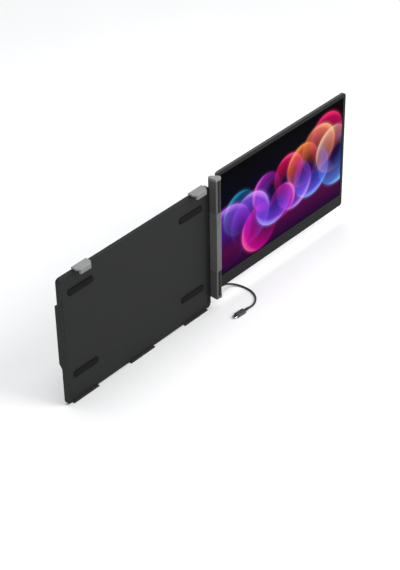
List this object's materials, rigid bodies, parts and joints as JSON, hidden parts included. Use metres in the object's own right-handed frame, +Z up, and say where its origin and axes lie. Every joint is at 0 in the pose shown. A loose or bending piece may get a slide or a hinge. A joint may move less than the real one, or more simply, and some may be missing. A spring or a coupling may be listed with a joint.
{
  "type": "laptop screen extender",
  "caption": "Second monitor on a friction hinge at the side of a flat bracket that hooks over a laptop's lid, with a kickstand and a short cord.",
  "frame": {"origin": "middle of the base of the box of the device without its cord, on the desk", "axes": "+Z up, +X to the right as the user sees it, +Y away from the user"},
  "size_m": [0.7384, 0.1281, 0.2807],
  "materials": {
    "shell_dark": "fine matte texture",
    "steel": "satin",
    "screw_black": "black oxide",
    "soft_pad": "matte",
    "inner_plastic": "plain",
    "circuit_board": "solder mask",
    "plated_metal": "bright plated",
    "cord_jacket": "matte",
    "plug_grey": "matte",
    "column_grey": "satin",
    "knuckle_grey": "matte",
    "monitor_metal": "anodised satin",
    "bezel_black": "fine matte",
    "display_glass": "anti-glare film",
    "flex_film": "film",
    "clip_grey": "satin",
    "leg_metal": "anodised satin",
    "button_grey": "satin"
  },
  "bodies": {
    "bracket": {"front_panel": "shell_dark", "back_cover": "shell_dark", "steel_plate": "steel", "rear_housing": "shell_dark", "cover_screws": "screw_black", "housing_screws": "screw_black", "bracket_pads": "soft_pad", "clip_guides": "inner_plastic", "carriage_rails": "inner_plastic", "kickstand_pin": "steel", "base_board": "circuit_board", "base_socket": "plated_metal", "bottom_feet": "soft_pad", "cord": "cord_jacket", "elbow_plug": "plug_grey", "elbow_relief": "cord_jacket", "plug_body": "plug_grey", "plug_shell": "plated_metal", "plug_relief": "cord_jacket"},
    "carriage": {"carriage_tongue": "leg_metal", "hinge_backbone": "column_grey", "hinge_knuckle": "knuckle_grey", "column_cap": "column_grey", "column_foot": "column_grey", "hinge_pin": "steel", "friction_washers": "steel"},
    "monitor": {"barrel_lower": "column_grey", "barrel_upper": "column_grey", "monitor_back_cover": "monitor_metal", "monitor_bezel": "bezel_black", "display_panel": "display_glass", "backlight_module": "inner_plastic", "monitor_board": "circuit_board", "monitor_sockets": "plated_metal", "monitor_screws": "screw_black", "flex_cable": "flex_film"},
    "clip_left": {"clip_left_hook": "clip_grey", "clip_left_liner": "soft_pad"},
    "clip_right": {"clip_right_hook": "clip_grey", "clip_right_liner": "soft_pad"},
    "kickstand": {"kickstand_leg": "leg_metal", "kickstand_foot": "soft_pad"},
    "power_button": {"power_button": "button_grey"},
    "plus_button": {"plus_button": "button_grey"},
    "minus_button": {"minus_button": "button_grey"}
  },
  "joints": [
    {"name": "width_adjust", "type": "slide", "parent": "bracket", "child": "carriage", "axis": [1, 0, 0], "range_m": [0, 0.018]},
    {"name": "monitor_swing", "type": "hinge", "parent": "carriage", "child": "monitor", "pos_m": [0.0044, -0.03311, 0.14994], "axis": [0, 0.0279, 0.9996], "range_deg": [-178, 40]},
    {"name": "clip_left_lift", "type": "slide", "parent": "bracket", "child": "clip_left", "axis": [0, 0.0279, 0.9996], "range_m": [0, 0.015]},
    {"name": "clip_right_lift", "type": "slide", "parent": "bracket", "child": "clip_right", "axis": [0, 0.0279, 0.9996], "range_m": [0, 0.015]},
    {"name": "kickstand_fold", "type": "hinge", "parent": "bracket", "child": "kickstand", "pos_m": [-0.1856, -0.00857, 0.06522], "axis": [1, 0, 0], "range_deg": [0, 141.6]},
    {"name": "power_press", "type": "slide", "parent": "monitor", "child": "power_button", "axis": [-1, 0, 0], "range_m": [0, 0.0004], "stiffness_N_per_m": 900, "springref_m": -0.0006},
    {"name": "plus_press", "type": "slide", "parent": "monitor", "child": "plus_button", "axis": [-1, 0, 0], "range_m": [0, 0.0004], "stiffness_N_per_m": 900, "springref_m": -0.0006},
    {"name": "minus_press", "type": "slide", "parent": "monitor", "child": "minus_button", "axis": [-1, 0, 0], "range_m": [0, 0.0004], "stiffness_N_per_m": 900, "springref_m": -0.0006}
  ]
}
